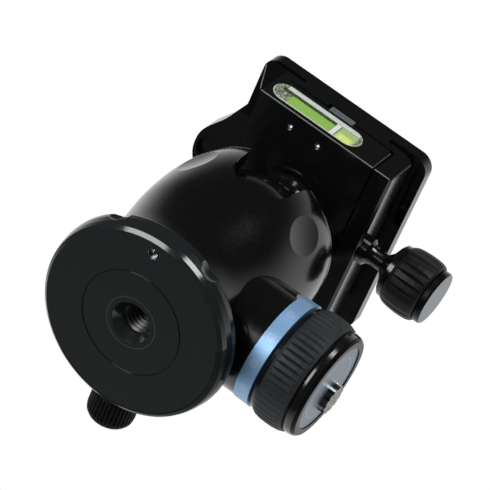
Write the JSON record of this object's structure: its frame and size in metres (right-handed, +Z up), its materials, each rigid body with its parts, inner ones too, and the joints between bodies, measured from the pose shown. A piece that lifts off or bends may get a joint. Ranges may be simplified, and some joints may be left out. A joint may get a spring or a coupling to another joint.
{
  "type": "tripod ball head",
  "caption": "Black tripod ball head: round base, drop-notch housing, side locking knobs, bubble levels and a sliding quick-release plate.",
  "frame": {"origin": "centre of the base's flat mounting face", "axes": "+Z up the body axis towards the camera plate; +X towards the main lock knob and the clamp knob; -Y the drop notch and tube level side"},
  "size_m": [0.0904, 0.0779, 0.1139],
  "materials": {
    "satin_black": "satin black anodising",
    "gloss_black": "smooth semi-gloss black",
    "clamp_black": "gloss black anodising",
    "steel": "bright machined",
    "dark_steel": "blackened",
    "chrome": "polished",
    "brass": "plain",
    "washer": "slip plastic",
    "polymer": "hard bearing plastic",
    "blue_ring": "blue anodised satin",
    "face_grey": "grey-blue anodised satin",
    "catch_grey": "dark grey anodised",
    "rubber": "ribbed matt",
    "clear": "clear acrylic",
    "green_fluid": "tinted fluid"
  },
  "bodies": {
    "base": {"base_plate": "satin_black", "thread_bush": "steel", "base_set_screw": "dark_steel", "pan_washer": "washer", "pan_retainer": "steel", "retainer_screws": "dark_steel"},
    "housing": {"housing": "gloss_black", "bearing_floor": "satin_black", "upper_ball_ring": "polymer", "scale_ring": "blue_ring"},
    "cup": {"pressure_cup": "polymer"},
    "wedge": {"lock_wedge": "steel"},
    "main_knob": {"main_spindle": "steel", "main_knob_core": "gloss_black", "main_knob_grip": "rubber", "main_knob_cap": "gloss_black", "main_knob_face": "face_grey"},
    "friction_dial": {"friction_dial": "chrome"},
    "pan_knob": {"pan_screw": "steel", "pan_knob": "satin_black"},
    "brake_shoe": {"brake_shoe": "brass"},
    "ball": {"ball_stem": "gloss_black"},
    "clamp": {"clamp_body": "clamp_black", "clamp_bolt": "dark_steel", "tube_level": "clear", "tube_level_fluid": "green_fluid", "round_level": "clear", "round_level_fluid": "green_fluid", "grub_screws": "steel"},
    "jaw": {"movable_jaw": "clamp_black", "jaw_pins": "steel"},
    "clamp_knob": {"clamp_spindle": "steel", "clamp_knob_core": "gloss_black", "clamp_knob_grip": "rubber", "clamp_knob_cap": "face_grey"},
    "catch": {"safety_catch": "catch_grey"},
    "plate": {"release_plate": "clamp_black", "plate_pads": "rubber", "stop_screw": "dark_steel"},
    "camera_screw": {"camera_screw": "steel"}
  },
  "joints": [
    {"name": "pan", "type": "hinge", "parent": "base", "child": "housing", "pos_m": [0, 0, 0.012], "axis": [0, 0, 1], "continuous": true},
    {"name": "tilt", "type": "hinge", "parent": "housing", "child": "ball", "pos_m": [0, 0, 0.0575], "axis": [1, 0, 0], "range_deg": [-28, 90]},
    {"name": "stem_turn", "type": "hinge", "parent": "ball", "child": "clamp", "pos_m": [0, 0, 0.0868], "axis": [0, 0, 1], "range_deg": [-50, 230]},
    {"name": "jaw_slide", "type": "slide", "parent": "clamp", "child": "jaw", "axis": [1, 0, 0], "range_m": [0, 0.0025]},
    {"name": "clamp_knob_turn", "type": "hinge", "parent": "jaw", "child": "clamp_knob", "pos_m": [0.045, 0, 0.0912], "axis": [1, 0, 0], "range_deg": [0, 902]},
    {"name": "catch_slide", "type": "slide", "parent": "clamp", "child": "catch", "axis": [0, 1, 0], "range_m": [0, 0.002], "stiffness_N_per_m": 150, "springref_m": -0.002},
    {"name": "plate_slide", "type": "slide", "parent": "clamp", "child": "plate", "axis": [0, 1, 0], "range_m": [-0.007, 0.007]},
    {"name": "camera_screw_turn", "type": "hinge", "parent": "plate", "child": "camera_screw", "pos_m": [0, 0.005, 0.105], "axis": [0, 0, 1], "continuous": true},
    {"name": "main_knob_turn", "type": "hinge", "parent": "housing", "child": "main_knob", "pos_m": [0.045, 0, 0.028], "axis": [1, 0, 0], "range_deg": [0, 288]},
    {"name": "wedge_slide", "type": "slide", "parent": "housing", "child": "wedge", "axis": [1, 0, 0], "range_m": [0, 0.001]},
    {"name": "cup_slide", "type": "slide", "parent": "housing", "child": "cup", "axis": [0, 0, -1], "range_m": [0, 0.00016]},
    {"name": "dial_turn", "type": "hinge", "parent": "main_knob", "child": "friction_dial", "pos_m": [0.053, 0.006, 0.032], "axis": [1, 0, 0], "range_deg": [0, 300]},
    {"name": "pan_knob_turn", "type": "hinge", "parent": "housing", "child": "pan_knob", "pos_m": [0, 0.04, 0.0145], "axis": [0, 1, 0], "range_deg": [0, 187]},
    {"name": "shoe_slide", "type": "slide", "parent": "housing", "child": "brake_shoe", "axis": [0, 1, 0], "range_m": [0, 0.00026]}
  ],
  "couplings": [
    {"joint": "clamp_knob_turn", "follows": "jaw_slide", "rad_per_m": 6283.2},
    {"joint": "main_knob_turn", "follows": "wedge_slide", "rad_per_m": 5000},
    {"joint": "cup_slide", "follows": "wedge_slide", "ratio": 0.15},
    {"joint": "pan_knob_turn", "follows": "shoe_slide", "rad_per_m": 12500}
  ]
}
